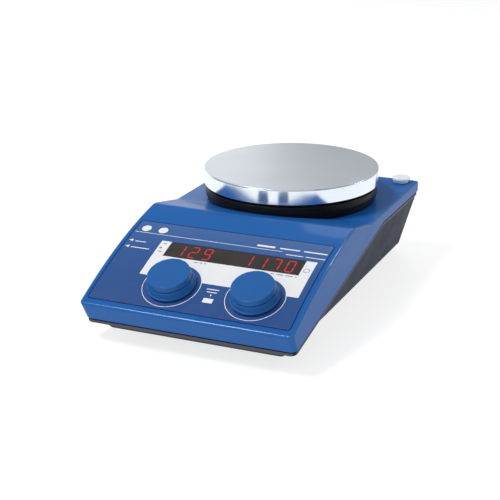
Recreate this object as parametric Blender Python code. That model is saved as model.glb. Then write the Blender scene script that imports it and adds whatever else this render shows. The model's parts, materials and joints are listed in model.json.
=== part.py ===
"""Hot-plate magnetic stirrer, as separate pieces.

Lengths in this script are millimetres until an object is made, when they become metres.
Frame: +Z up, +X to the operator's right, +Y to the rear, origin on the table under the middle.
Most places are given by "back", the distance behind the panel's front edge.
"""

import math

import bmesh
import bpy
from mathutils import Matrix, Vector

# ---- driving dimensions, mm ----
WIDTH = 160.0            # across the top housing at its widest
DEPTH = 270.0            # front edge to rear wall
HEIGHT = 85.0            # table to plate surface
WIDEST_Z = 66.5          # height at which the housing is WIDTH wide
DRAFT = math.tan(math.radians(1.5))
GAP = 0.3                # between pieces that touch
WALL = 3.0               # cast top housing
SEAM_GAP = 1.2           # shadow gap between the two housings
EDGE = 1.8               # rounding of the top housing's long edges
FRONT_TIP = -0.62        # where the front edge would be if it weren't rounded

# The panel's crown: height = PANEL_Z + PANEL_RISE * back - PANEL_SAG * back^2
PANEL_Z = 29.0
PANEL_RISE = 0.503
PANEL_SAG = 0.001433
LIP_BACK, LIP_Z = 6.9, 15.2          # lower edge of the undercut front lip
RIDGE_BACK = 113.5                   # where the panel ends
DIP_BACK, DECK_Z = 150.0, 60.0       # foot of the short rear slope, and the deck behind it
KNEE_BACK, KNEE_Z = 179.4, 52.0      # the seam rises to here, then runs level

PLATE_BACK = 191.2                   # plate axis
PLATE_R = 67.5
PLATE_T = 12.3
SKIRT_TOP_R, SKIRT_LOW_R = 66.8, 65.0
DECK_HOLE_R = 57.6

KNOB_BACK = 26.0
KNOB_X = {"temperature": -20.4, "speed": 41.8}
KNOB_R, KNOB_H = 15.0, 11.1
KNOB_SKIRT_R = 17.3
KNOB_LIFT = 0.8                      # clear of the foil, more than the push travel

FOIL_FRONT, FOIL_REAR, FOIL_HALF = 4.6, 87.6, 75.4
FOIL_T, FOIL_CORNER = 0.5, 2.5
WINDOW_X, WINDOW_BACK = 10.9, 59.2
WINDOW_W, WINDOW_D, WINDOW_T = 102.4, 16.0, 2.6

BOARD_BACK, BOARD_TILT, BOARD_DEEP = 43.0, math.radians(20.8), 19.0

FLOOR_Z, FLOOR_T = 5.0, 2.5          # underside and thickness of the lower housing's floor
TUB_HALF, TUB_FLARE = 65.2, 0.30     # its half-width at the underside, and the side walls' slope
TUB_FRONT, TUB_RAKE = 18.5, 1.2     # its front edge at the underside, and the front wall's rake
TUB_REAR = 268.5
FLANGE_T = 2.2

ROCKER_BACK, ROCKER_Z = 72.0, 42.0
LIMIT_BACK, LIMIT_Z = 46.0, 36.0
INLET_X, INLET_Z = -22.0, 29.0
SOCKET_X, SOCKET_Z = 34.0, 30.0
ROD_X, ROD_BACK = 67.6, 260.0
FEET = [(-50, 40), (50, 40), (-50, 236), (50, 236)]                      # x, back
POSTS = [(-59, 92, 60.5), (59, 92, 60.5), (-54, 254, 58), (54, 254, 58)]   # x, back, top
MM = 0.001


# ---- small tools ----
def at(x, back, z):
    """A place, from its distance behind the panel's front edge."""
    return Vector((x, back - DEPTH / 2, z))


def paint(name, rgb, rough, metal=0.0):
    look = bpy.data.materials.new(name)
    look.use_nodes = True
    shader = look.node_tree.nodes["Principled BSDF"]
    shader.inputs["Base Color"].default_value = (*rgb, 1.0)
    shader.inputs["Roughness"].default_value = rough
    shader.inputs["Metallic"].default_value = metal
    look.diffuse_color = (*rgb, 1.0)
    return look


def make(name, bm, look=None, frame=None):
    """Turns a mesh drawn in millimetres into an object in metres, placed by its frame."""
    bmesh.ops.recalc_face_normals(bm, faces=bm.faces)
    bmesh.ops.scale(bm, vec=(MM, MM, MM), verts=bm.verts)
    mesh = bpy.data.meshes.new(name)
    bm.to_mesh(mesh)
    bm.free()
    obj = bpy.data.objects.new(name, mesh)
    bpy.context.scene.collection.objects.link(obj)
    if look:
        mesh.materials.append(look)
    if frame:
        placed = frame.copy()
        placed.translation *= MM
        obj.matrix_world = placed
    smooth(obj)
    return obj


def smooth(obj):
    obj.data.shade_smooth()
    obj.data.set_sharp_from_angle(angle=math.radians(32))


def freeze(obj):
    """Replaces an object's mesh with what its modifiers make of it."""
    bpy.context.view_layer.update()
    seen = obj.evaluated_get(bpy.context.evaluated_depsgraph_get())
    mesh = bpy.data.meshes.new_from_object(seen)
    obj.modifiers.clear()
    obj.data = mesh
    smooth(obj)


def combine(obj, others, operation="DIFFERENCE"):
    """Cuts the others out of obj, or joins them to it, and removes them."""
    for other in others:
        step = obj.modifiers.new("combine", "BOOLEAN")
        step.operation = operation
        step.solver = "EXACT"
        step.object = other
        freeze(obj)
        bpy.data.objects.remove(other)


def turned(profile, steps=36, ring=False):
    """A lathe shape from (radius, height) points; ring closes the profile on itself."""
    bm = bmesh.new()
    verts = [bm.verts.new((r, 0, z)) for r, z in profile]
    pairs = list(zip(verts, verts[1:]))
    if ring:
        pairs.append((verts[-1], verts[0]))
    edges = [bm.edges.new(pair) for pair in pairs]
    bmesh.ops.spin(bm, geom=verts + edges, cent=(0, 0, 0), axis=(0, 0, 1), dvec=(0, 0, 0),
                   angle=2 * math.pi, steps=steps, use_merge=True, use_duplicate=False)
    bmesh.ops.remove_doubles(bm, verts=bm.verts, dist=1e-4)
    return bm


def rod(radius, low, high, steps=20):
    return turned([(0, low), (radius, low), (radius, high), (0, high)], steps)


def tube(inner, outer, low, high, steps=24):
    return turned([(inner, low), (outer, low), (outer, high), (inner, high)], steps, ring=True)


def block(low, high, bevel=0.0):
    """A box between two corners, its edges rounded by bevel."""
    low, high = Vector(low), Vector(high)
    bm = bmesh.new()
    bmesh.ops.create_cube(bm, size=1.0)
    bmesh.ops.scale(bm, vec=high - low, verts=bm.verts)
    bmesh.ops.translate(bm, vec=(low + high) / 2, verts=bm.verts)
    if bevel:
        bmesh.ops.bevel(bm, geom=bm.edges[:], offset=bevel, segments=2, profile=0.5, affect="EDGES")
    return bm


def loft(loops, ring=False):
    """Skins a row of loops with equal point counts; ring joins the last to the first."""
    bm = bmesh.new()
    rows = [[bm.verts.new(point) for point in loop] for loop in loops]
    count = len(rows[0])
    pairs = list(zip(rows, rows[1:]))
    if ring:
        pairs.append((rows[-1], rows[0]))
    for a, b in pairs:
        for i in range(count):
            j = (i + 1) % count
            bm.faces.new((a[i], a[j], b[j], b[i]))
    if not ring:
        bm.faces.new(rows[0])
        bm.faces.new(rows[-1])
    return bm


def fillet(before, corner, after, radius, steps=4):
    """Points of the arc that rounds a corner of a flat path."""
    before, corner, after = Vector(before), Vector(corner), Vector(after)
    u = (before - corner).normalized()
    v = (after - corner).normalized()
    half = u.angle(v) / 2
    centre = corner + (u + v).normalized() * (radius / math.sin(half))
    start = corner + u * (radius / math.tan(half)) - centre
    end = corner + v * (radius / math.tan(half)) - centre
    arc = [start.slerp(end, k / steps) for k in range(steps + 1)]
    return [tuple(centre + p.normalized() * radius) for p in arc]


def offset_path(path, distance):
    """The path moved to its right-hand side by a distance."""
    points = [Vector(p) for p in path]
    moved = []
    for i, point in enumerate(points):
        sides = []
        for a, b in ((i - 1, i), (i, i + 1)):
            if a >= 0 and b < len(points):
                run = (points[b] - points[a]).normalized()
                sides.append(Vector((run.y, -run.x)))
        side = sum(sides, Vector((0, 0))).normalized()
        moved.append(tuple(point + side * (distance / side.dot(sides[0]))))
    return moved


# ---- shapes that several pieces share ----
def half_width(z):
    return WIDTH / 2 - (WIDEST_Z - z) * DRAFT


def panel_z(back):
    return PANEL_Z + PANEL_RISE * back - PANEL_SAG * back * back


def panel_frame(x, back, deep=0.0, tilt=None):
    """A frame on the panel: X across, Y up the slope, Z out of the panel."""
    if tilt is None:
        tilt = math.atan(PANEL_RISE - 2 * PANEL_SAG * back)
    here = Matrix.Translation(at(x, back, panel_z(back))) @ Matrix.Rotation(tilt, 4, "X")
    return here @ Matrix.Translation((0, 0, -deep))


def wall_frame(back, z):
    """A frame on the left wall: X to the front, Y up the wall, Z out of it."""
    lean = math.atan(DRAFT)
    up = Vector((-math.sin(lean), 0, math.cos(lean)))
    out = Vector((-math.cos(lean), 0, -math.sin(lean)))
    turn = Matrix((up.cross(out), up, out)).transposed().to_4x4()
    return Matrix.Translation(at(-half_width(z), back, z)) @ turn


def upright(x, back):
    return Matrix.Translation(at(x, back, 0))


def rearward(x, z):
    """A frame at the rear wall's height z: Z points to the rear, from the front edge's plane."""
    return Matrix.Translation(at(x, 0, z)) @ Matrix.Rotation(math.radians(-90), 4, "X")


def seam_z(back):
    """Lower edge of the top housing: a straight rise, a soft knee, then level."""
    soft = 3.0
    slope = (KNEE_Z - LIP_Z) / (KNEE_BACK - LIP_BACK)
    past = back - KNEE_BACK
    if past < -soft:
        return KNEE_Z + slope * past
    if past > soft:
        return KNEE_Z
    return KNEE_Z - slope * (soft - past) ** 2 / (4 * soft)


def crown_path():
    """The top housing's outline from the lip's lower edge, over the top, to the rear wall's foot."""
    lip = (LIP_BACK, LIP_Z)
    ridge = (RIDGE_BACK, panel_z(RIDGE_BACK))
    dip = (DIP_BACK, DECK_Z)
    panel = [(back, panel_z(back)) for back in (FRONT_TIP, *range(12, 109, 12))]
    over = fillet(panel[-1], ridge, dip, 14.0)
    foot = fillet(ridge, dip, (DEPTH, DECK_Z), 26.0)
    return [lip, *panel, *over, *foot, (DEPTH, DECK_Z), (DEPTH, KNEE_Z)]


def across(path, spread, lift=0.0, bow=3.0, cuts=6):
    """Copies of a side outline across the width; the ridge bows forward in the middle."""
    loops = []
    for step in range(cuts + 1):
        u = 2 * step / cuts - 1
        loop = []
        for back, z in path:
            near = max(0.0, 1 - abs(back - (RIDGE_BACK + 14)) / 34)
            ahead = bow * (1 - u * u) * math.sin(near * math.pi / 2) if z > DECK_Z - 4 else 0.0
            loop.append(at(u * (half_width(z) + spread), back - ahead, z + lift))
        loops.append(loop)
    return loops


def housing_outline():
    seam = [(back, seam_z(back)) for back in (230, 182.4, 180.9, 179.4, 177.9, 176.4, 120, 60)]
    return crown_path() + seam


# ---- looks ----
BLUE = paint("blue_paint", (0.05, 0.16, 0.45), 0.35)
DARK = paint("dark_plastic", (0.045, 0.05, 0.07), 0.5)
BLACK = paint("black_plastic", (0.01, 0.01, 0.011), 0.4)
RUBBER = paint("rubber", (0.015, 0.015, 0.015), 0.8)
FOIL = paint("label_foil", (0.035, 0.10, 0.30), 0.4)
SMOKED = paint("smoked_window", (0.03, 0.025, 0.025), 0.1)
LED = paint("red_display", (0.35, 0.01, 0.01), 0.4)
ALLOY = paint("plate_alloy", (0.75, 0.76, 0.78), 0.3, 1.0)
STEEL = paint("steel", (0.55, 0.55, 0.56), 0.35, 1.0)
BRASS = paint("brass", (0.75, 0.55, 0.25), 0.35, 1.0)
FIBRE = paint("ceramic_fibre", (0.8, 0.78, 0.72), 0.9)
BOARD = paint("circuit_board", (0.02, 0.22, 0.08), 0.5)
CREAM = paint("cap_plastic", (0.62, 0.74, 0.86), 0.4)
MAGNET = paint("magnet", (0.12, 0.12, 0.13), 0.4, 0.8)
COPPER = paint("winding", (0.6, 0.25, 0.1), 0.4, 0.9)


# ---- housings ----
def top_housing():
    outline = housing_outline()
    bm = loft(across(outline, 0.0))
    weight = bm.edges.layers.float.new("bevel_weight_edge")
    corner = 4.0
    for edge in bm.edges:
        a, b = (v.co for v in edge.verts)
        back_a, back_b = a.y + DEPTH / 2, b.y + DEPTH / 2
        on_side = abs(abs(a.x) - half_width(a.z)) < 0.01 and abs(abs(b.x) - half_width(b.z)) < 0.01
        along = abs(a.x - b.x) < 2.0
        on_seam = abs(a.z - seam_z(back_a)) < 0.01 and abs(b.z - seam_z(back_b)) < 0.01
        if on_side and along and not on_seam:
            lip = min(back_a, back_b) < 0.1 and abs(max(back_a, back_b) - LIP_BACK) < 0.1
            rear = min(back_a, back_b) > DEPTH - 0.1
            edge[weight] = 1.0 if lip else 0.7 if rear else EDGE / corner
        elif not along:
            front_top = max(back_a, back_b) < 0.1
            rear_top = min(back_a, back_b) > DEPTH - 0.1 and min(a.z, b.z) > DECK_Z - 0.1
            if front_top or rear_top:
                edge[weight] = EDGE / corner
    obj = make("top_housing", bm, BLUE)
    bevel = obj.modifiers.new("edges", "BEVEL")
    bevel.limit_method = "WEIGHT"
    bevel.width = corner * MM
    bevel.segments = 3
    freeze(obj)
    inner = offset_path(crown_path(), WALL)
    down = (Vector(inner[0]) - Vector(inner[1])).normalized()
    inner = [tuple(Vector(inner[0]) + down * 6), *inner, (DEPTH - WALL, 22.0)]
    cavity = make("cavity", loft(across(inner, -WALL, bow=0.0, cuts=1)))
    combine(obj, [cavity])
    posts = [make("post", rod(4.5, 16, top, 16), None, upright(x, back)) for x, back, top in POSTS]
    combine(obj, posts, "UNION")
    holes = [make("pilot", rod(2.4, 10, 34, 12), None, upright(x, back)) for x, back, _ in POSTS]
    holes.append(make("deck_hole", rod(DECK_HOLE_R, 50, 80, 48), None, upright(0, PLATE_BACK)))
    holes.append(make("rod_hole", rod(5.2, 50, 70), None, upright(ROD_X, ROD_BACK)))
    holes.append(make("foil_recess", foil_shape(GAP, 4.0, -FOIL_T - GAP)))
    holes.append(make("window_hole", window_box(GAP, -9, 6), None, window_frame()))
    holes += [make("knob_hole", rod(4.9, -9, 6), None, panel_frame(x, KNOB_BACK)) for x in KNOB_X.values()]
    rocker = wall_frame(ROCKER_BACK, ROCKER_Z)
    holes.append(make("rocker_hole", block((-10.55, -6.6, -6), (10.55, 6.6, 4)), None, rocker))
    holes.append(make("rocker_seat", block((-12.05, -8.05, -0.9), (12.05, 8.05, 4)), None, rocker))
    limit = wall_frame(LIMIT_BACK, LIMIT_Z)
    holes.append(make("limit_hole", rod(3.6, -6, 4), None, limit))
    combine(obj, holes)


def bottom_housing():
    def rake(z):
        return TUB_FRONT - (z - FLOOR_Z) * TUB_RAKE

    low = FLOOR_Z + FLOOR_T
    under = SEAM_GAP + FLANGE_T
    wall = 2.6
    loops = [
        tub_loop(lambda z: TUB_HALF - 1.2, rake(FLOOR_Z) + 1.4, TUB_REAR - 1.2, 2.5, lambda back: FLOOR_Z),
        tub_loop(tub_half, rake(FLOOR_Z + 1.2), TUB_REAR, 3, lambda back: FLOOR_Z + 1.2),
        tub_loop(tub_half, rake(12.0), TUB_REAR, 3, lambda back: seam_z(back) - under),
        tub_loop(lambda z: half_width(z) - 1.0, 8.0, 269.2, 4.5, lambda back: seam_z(back) - under),
        tub_loop(lambda z: half_width(z) - 0.4, 7.4, 269.7, 4.5, lambda back: seam_z(back) - under + 0.6),
        tub_loop(lambda z: half_width(z) - 0.4, 7.4, 269.7, 4.5, lambda back: seam_z(back) - SEAM_GAP - 0.4),
        tub_loop(lambda z: half_width(z) - 0.8, 7.8, 269.3, 4.5, lambda back: seam_z(back) - SEAM_GAP),
        tub_loop(lambda z: tub_half(z) - wall, rake(14.0) + 3.2, TUB_REAR - wall, 2,
                 lambda back: seam_z(back) - SEAM_GAP),
        tub_loop(lambda z: tub_half(z) - wall, rake(low) + 3.2, TUB_REAR - wall, 2, lambda back: low),
    ]
    obj = make("bottom_housing", loft(loops), DARK)
    holes = [make("foot_hole", rod(3.3, 2, 10, 16), None, upright(x, back)) for x, back in FEET]
    for x, back, _ in POSTS:
        sunk = [(0, 2), (4.5, 2), (4.5, 6.6), (2.6, 6.6), (2.6, 10), (0, 10)]
        holes.append(make("screw_hole", turned(sunk, 16), None, upright(x, back)))
    holes.append(make("inlet_hole", block(at(INLET_X - 23.4, 262, INLET_Z - 10.9),
                                          at(INLET_X + 23.4, 274, INLET_Z + 10.9))))
    holes.append(make("socket_hole", rod(7.8, 262, 274, 24), None, rearward(SOCKET_X, SOCKET_Z)))
    combine(obj, holes)


def tub_half(z):
    return TUB_HALF + (z - FLOOR_Z) * TUB_FLARE


def tub_loop(half, front, rear, corner, height):
    """A closed loop round the housing: a rounded rectangle whose width and height vary along it."""
    arc = [math.radians(15 * k) for k in range(7)]
    plan = [(corner * (1 - math.sin(a)), front + corner * (1 - math.cos(a))) for a in arc]
    plan += [(0.0, back) for back in (60, 120, 176.4, 177.9, 179.4, 180.9, 182.4, 230)]
    plan += [(corner * (1 - math.cos(a)), rear - corner * (1 - math.sin(a))) for a in arc]
    right = []
    for inset, back in plan:
        z = height(back)
        right.append(at(half(z) - inset, back, z))
    left = [Vector((-p.x, p.y, p.z)) for p in reversed(right)]
    return right + left


def seam_gasket():
    def loop(inset, drop):
        return tub_loop(lambda z: half_width(z) - inset, LIP_BACK + inset, DEPTH - inset, 3.5,
                        lambda back: seam_z(back) - drop)

    low, high = SEAM_GAP - GAP, GAP
    make("seam_gasket", loft([loop(1.7, low), loop(1.7, high), loop(2.6, high), loop(2.6, low)], ring=True),
         RUBBER)


# ---- front panel ----
def foil_shape(grow, top, under):
    """The label's outline on the crowned panel: rounded at its corners, between two heights."""
    corner = FOIL_CORNER + grow
    front, rear, half = FOIL_FRONT - grow, FOIL_REAR + grow, FOIL_HALF + grow
    arc = [math.radians(15 * k) for k in range(7)]
    stations = [(corner * (1 - math.sin(a)), front + corner * (1 - math.cos(a))) for a in arc]
    stations += [(0.0, back) for back in range(18, 80, 12)]
    stations += [(corner * (1 - math.cos(a)), rear - corner * (1 - math.sin(a))) for a in arc]
    loops = []
    for inset, back in stations:
        w, z = half - inset, panel_z(back)
        loops.append([at(-w, back, z + under), at(w, back, z + under), at(w, back, z + top), at(-w, back, z + top)])
    return loft(loops)


def window_frame():
    return panel_frame(WINDOW_X, WINDOW_BACK)


def window_box(grow, low, high):
    w, d = WINDOW_W / 2 + grow, WINDOW_D / 2 + grow
    return block((-w, -d, low), (w, d, high))


def front_panel():
    foil = make("front_foil", foil_shape(0.0, 0.0, -FOIL_T), FOIL)
    holes = [make("hole", rod(5.2, -9, 6), None, panel_frame(x, KNOB_BACK)) for x in KNOB_X.values()]
    holes.append(make("hole", window_box(GAP, -9, 6), None, window_frame()))
    combine(foil, holes)
    make("display_window", window_box(0.0, -0.2 - WINDOW_T, -0.2), SMOKED, window_frame())
    top = -0.2 - WINDOW_T - GAP
    for name, low_x, high_x in (("temperature", -45.0, -2.0), ("speed", 5.0, 50.0)):
        make(f"{name}_display", block((low_x, -7.0, -16.9), (high_x, 7.0, top)), LED, window_frame())
    board = panel_frame(6.0, BOARD_BACK, BOARD_DEEP, BOARD_TILT)
    make("control_board", block((-56, -30, -0.8), (56, 30, 0.8)), BOARD, board)


def knob(kind):
    """A rotary push control: encoder, push slide, and the shaft with its two-piece knob."""
    frame = panel_frame(KNOB_X[kind], KNOB_BACK)
    body = make(f"{kind}_encoder", block((-6.5, -6.5, -17.2), (6.5, 6.5, -9.5)), STEEL, frame)
    combine(body, [make("bush", rod(4.5, -12, -1.0), None, frame)], "UNION")
    combine(body, [make("bore", rod(3.5, -14.2, 3), None, frame)])
    make(f"{kind}_push_slide", rod(3.1, -12.7, -11.2), BLACK, frame)
    make(f"{kind}_knob_shaft", rod(3.0, -10.9, 9.0), STEEL, frame)
    r, h = KNOB_R, KNOB_H
    cap = [(0, 9.3), (3.3, 9.3), (3.3, 3.3), (5.2, 3.3), (5.2, 9.0), (13.6, 9.0), (13.8, 6.9), (r + 0.65, 6.9),
           (r + 0.05, h - 0.45), (r - 0.1, h - 0.12), (r - 0.45, h), (0, h)]
    make(f"{kind}_knob", turned(cap), BLUE, frame)
    s, low = KNOB_SKIRT_R, KNOB_LIFT
    skirt = [(5.6, low), (s - 0.2, low), (s, low + 0.2), (s, low + 0.8), (s - 0.7, low + 1.4),
             (s - 1.15, low + 1.5), (s - 1.15, low + 1.9), (s - 0.95, low + 2.0), (r + 0.95, 6.2),
             (r + 0.7, 6.6), (14.3, 6.6), (14.3, 3.0), (5.6, 3.0)]
    make(f"{kind}_knob_skirt", turned(skirt, ring=True), BLUE, frame)


# ---- left wall ----
def rocker_switch():
    frame = wall_frame(ROCKER_BACK, ROCKER_Z)
    shell = make("rocker_frame", block((-11.75, -7.75, -0.6), (11.75, 7.75, 0.6), 0.3), BLACK, frame)
    combine(shell, [make("body", block((-10.25, -6.3, -14), (10.25, 6.3, 0.3)), None, frame)], "UNION")
    combine(shell, [make("cavity", block((-8.75, -5.1, -9), (8.75, 5.1, 3)), None, frame)])
    side = [(-8.3, 2.8), (0.0, 2.2), (8.3, 2.8), (8.1, -1.0), (3.0, -4.5), (-3.0, -4.5), (-8.1, -1.0)]
    paddle = loft([[(x, y, z) for x, z in side] for y in (-4.75, 4.75)])
    pivot = frame @ Matrix.Translation((0, 0, -3)) @ Matrix.Rotation(math.radians(6), 4, "Y")
    make("mains_rocker", paddle, BLACK, pivot)


def limit_control():
    frame = wall_frame(LIMIT_BACK, LIMIT_Z)
    body = [(0, -15), (7, -15), (7, -3.4), (3.2, -3.4), (3.2, -0.5), (2.4, -0.5), (2.4, -12.4), (0, -12.4)]
    make("limit_potentiometer", turned(body, 20), BLACK, frame)
    screw = make("limit_screw", rod(2.0, -12.0, -0.6, 16), BRASS, frame)
    combine(screw, [make("slot", block((-3, -0.35, -1.6), (3, 0.35, 1)), None, frame)])


# ---- plate and what carries it ----
def round_about(radius, angles):
    return [(radius * math.cos(math.radians(a)), radius * math.sin(math.radians(a))) for a in angles]


STANDOFFS = round_about(50.0, (90, 210, 330))
SENSOR = round_about(45.0, (30,))[0]


def plate_group():
    axis = upright(0, PLATE_BACK)
    low, r = HEIGHT - PLATE_T, PLATE_R
    plate = [(0, low), (27.7, low), (27.7, low + 6.8), (38.3, low + 6.8), (38.3, low), (r - 1.0, low),
             (r - 0.6, low + 0.4), (r, HEIGHT - 0.3), (r - 0.3, HEIGHT), (0, HEIGHT)]
    hotplate = make("hotplate", turned(plate, 64), ALLOY, axis)
    spot = upright(SENSOR[0], PLATE_BACK + SENSOR[1])
    combine(hotplate, [make("hole", rod(1.9, 60, low + 7, 12), None, spot)])
    make("heating_element", tube(28.0, 38.0, low + 0.2, low + 6.5, 32), STEEL, axis)
    disc = make("insulation_disc", rod(57.0, 68.6, low - GAP, 40), FIBRE, axis)
    holes = [make("hole", rod(1.9, 60, 80, 12), None, spot)]
    holes += [make("hole", rod(3.9, 60, 80, 12), None, upright(x, PLATE_BACK + y)) for x, y in STANDOFFS]
    combine(disc, holes)
    for number, (x, y) in enumerate(STANDOFFS, 1):
        make(f"plate_standoff_{number}", rod(3.5, 57.0, low - GAP, 12), STEEL, upright(x, PLATE_BACK + y))
    make("plate_sensor", rod(1.5, 62.0, low + 6.5, 12), STEEL, spot)
    top, base = SKIRT_TOP_R, SKIRT_LOW_R
    skirt = [(58.6, 71.3), (top - 0.6, 71.3), (top, 70.7), (top - 0.1, 66.5), (top - 0.7, 63.5),
             (base + 0.3, 61.2), (base, 60.35), (58.6, 60.35)]
    ring = make("plate_skirt", turned(skirt, 56, ring=True), BLACK, axis)
    combine(ring, [make("crown", loft(across(housing_outline(), 0.0, GAP)))])
    make("carrier_plate", tube(9.0, 64.0, 53.7, 56.7, 40), STEEL, axis)


# ---- stirring drive ----
def drive():
    axis = upright(0, PLATE_BACK)
    can = [(4.5, 53.4), (25, 53.4), (25, 15), (4.5, 15), (4.5, 17.8), (8.4, 17.8), (8.4, 23), (10.2, 23),
           (10.2, 17.8), (22.5, 17.8), (22.5, 50.4), (10.2, 50.4), (10.2, 44.5), (8.4, 44.5), (8.4, 50.4),
           (4.5, 50.4)]
    make("motor_can", turned(can, 24, ring=True), STEEL, axis)
    make("motor_stator", tube(16.6, 22.2, 26, 42), COPPER, axis)
    make("motor_rotor", tube(3.3, 16.0, 26.5, 41.5), MAGNET, axis)
    make("upper_bearing", tube(3.4, 8.0, 45, 50, 20), STEEL, axis)
    make("lower_bearing", tube(3.4, 8.0, 18.1, 23, 20), STEEL, axis)
    make("motor_shaft", rod(3.0, 18.4, 62.5), STEEL, axis)
    bar = make("magnet_holder", block((-32, -11, 58.4), (32, 11, 61.4), 0.8), STEEL, axis)
    combine(bar, [make("hub", rod(7.0, 57.2, 60.0), None, axis)], "UNION")
    combine(bar, [make("bore", rod(3.4, 50, 64), None, axis)])
    for name, x in (("north_magnet", 21.0), ("south_magnet", -21.0)):
        make(name, rod(9.5, 61.7, 67.7), MAGNET, upright(x, PLATE_BACK))


# ---- power side ----
def power_side():
    make("power_board", block(at(-50, 84, 12), at(50, 156, 13.6)), BOARD)
    make("power_transformer", block(at(-44, 99, 13.9), at(0, 137, 41.9), 1.0), BLACK)
    strip = [(62, 31.6), (69, 25.5), (84, 19.5), (90, 17.5), (92, 14.0)]
    loops = []
    for back, z in strip:
        loops.append([at(-8, back, z), at(8, back, z), at(8, back + 0.7, z + 0.5), at(-8, back + 0.7, z + 0.5)])
    make("ribbon_cable", loft(loops), CREAM)


def mains_inlet():
    x, z = INLET_X, INLET_Z
    body = make("mains_inlet", block(at(x - 25.5, 268.8, z - 12.5), at(x + 25.5, 269.8, z + 12.5)), BLACK)
    combine(body, [make("body", block(at(x - 23, 243, z - 10.5), at(x + 23, 269.3, z + 10.5)))], "UNION")
    mouth = block(at(x - 3, 254, z - 8.5), at(x + 22, 275, z + 8.5))
    slot = block(at(x - 20.5, 246, z - 7.5), at(x - 7.5, 275, z + 7.5))
    combine(body, [make("mouth", mouth), make("slot", slot)])
    for name, dx, dz in (("live_pin", -7, -1.5), ("earth_pin", 0, 2.5), ("neutral_pin", 7, -1.5)):
        px, pz = x + 9.5 + dx, z + dz
        make(name, block(at(px - 1, 254.3, pz - 2), at(px + 1, 266, pz + 2), 0.4), BRASS)
    cx = x - 14
    drawer = make("fuse_drawer", block(at(cx - 6.2, 246.4, z - 7.2), at(cx + 6.2, 269.6, z + 7.2), 0.3), BLACK)
    combine(drawer, [make("pocket", block(at(cx - 9, 247.2, z - 2.9), at(cx + 2.9, 267.8, z + 2.9)))])
    make("fuse", rod(2.5, 247.5, 267.5, 20), STEEL, rearward(cx, z))
    socket = [(0, 250), (7.4, 250), (7.4, 268.8), (9.5, 268.8), (9.5, 269.8), (5.6, 269.8), (5.6, 259), (0, 259)]
    make("sensor_socket", turned(socket, 24), BLACK, rearward(SOCKET_X, SOCKET_Z))


# ---- stand-rod hole, feet and screws ----
def fittings():
    axis = upright(ROD_X, ROD_BACK)
    make("rod_bush", tube(4.25, 5.5, 46.5, 56.7, 20), STEEL, axis)
    cap = [(0, 50.5), (3.8, 50.5), (3.8, 60.3), (5.8, 60.3), (5.8, 62.4), (7.1, 62.4), (7.3, 62.6), (7.3, 64.0),
           (7.05, 64.5), (6.6, 64.7), (0, 64.7)]
    make("rod_hole_cap", turned(cap, 28), CREAM, axis)
    foot = [(0, 0), (6.2, 0), (7, 0.8), (7, FLOOR_Z - GAP), (2.9, FLOOR_Z - GAP), (2.9, 7.2), (0, 7.2)]
    for number, (x, back) in enumerate(FEET, 1):
        make(f"rubber_foot_{number}", turned(foot, 20), RUBBER, upright(x, back))
    screw = [(0, 5.3), (4, 5.3), (4, 6.3), (2, 6.3), (2, 30), (0, 30)]
    for number, (x, back, _) in enumerate(POSTS, 1):
        make(f"housing_screw_{number}", turned(screw, 12), STEEL, upright(x, back))


def build():
    for obj in list(bpy.data.objects):
        bpy.data.objects.remove(obj)
    top_housing()
    bottom_housing()
    seam_gasket()
    front_panel()
    for kind in KNOB_X:
        knob(kind)
    rocker_switch()
    limit_control()
    plate_group()
    drive()
    power_side()
    mains_inlet()
    fittings()


build()
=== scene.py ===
"""Looks of the hot-plate magnetic stirrer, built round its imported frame.

Shapes are drawn in millimetres on the frame's own axes and become metres when a piece is made.
"Back" is the distance behind the panel's front edge, so y = back - DEPTH / 2.
"""

import json
import math

import bmesh
import bpy
from mathutils import Matrix, Vector


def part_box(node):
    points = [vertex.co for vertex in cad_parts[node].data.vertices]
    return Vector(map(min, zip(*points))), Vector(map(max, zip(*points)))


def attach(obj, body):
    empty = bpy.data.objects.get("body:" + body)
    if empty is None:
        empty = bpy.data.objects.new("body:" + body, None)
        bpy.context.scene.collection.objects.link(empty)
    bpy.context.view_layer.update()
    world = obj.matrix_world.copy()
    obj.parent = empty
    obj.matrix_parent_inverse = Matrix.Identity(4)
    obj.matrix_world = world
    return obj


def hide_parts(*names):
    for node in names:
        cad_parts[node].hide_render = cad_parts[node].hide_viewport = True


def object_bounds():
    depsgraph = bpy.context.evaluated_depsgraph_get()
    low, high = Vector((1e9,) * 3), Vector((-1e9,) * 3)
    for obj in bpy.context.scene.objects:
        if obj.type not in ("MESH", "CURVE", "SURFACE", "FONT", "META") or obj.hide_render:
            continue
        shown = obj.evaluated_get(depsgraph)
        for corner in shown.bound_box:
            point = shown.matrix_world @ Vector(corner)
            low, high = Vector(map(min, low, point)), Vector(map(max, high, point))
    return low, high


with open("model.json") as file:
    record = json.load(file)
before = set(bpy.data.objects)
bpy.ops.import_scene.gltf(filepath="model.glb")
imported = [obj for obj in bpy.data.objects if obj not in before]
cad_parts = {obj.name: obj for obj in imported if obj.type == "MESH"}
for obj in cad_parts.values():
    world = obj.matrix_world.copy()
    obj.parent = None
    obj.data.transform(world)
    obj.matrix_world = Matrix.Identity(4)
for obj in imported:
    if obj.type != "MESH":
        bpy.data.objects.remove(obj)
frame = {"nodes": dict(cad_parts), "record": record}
cad_low, cad_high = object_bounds()

MM = 0.001
BODY_OF = {node: body for body, nodes in frame["record"]["behaviour"]["bodies"].items() for node in nodes}


def low(node):
    """A CAD node's lowest corner, in millimetres."""
    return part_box(node)[0] / MM


def high(node):
    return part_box(node)[1] / MM


def middle(node):
    return (low(node) + high(node)) / 2


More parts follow.
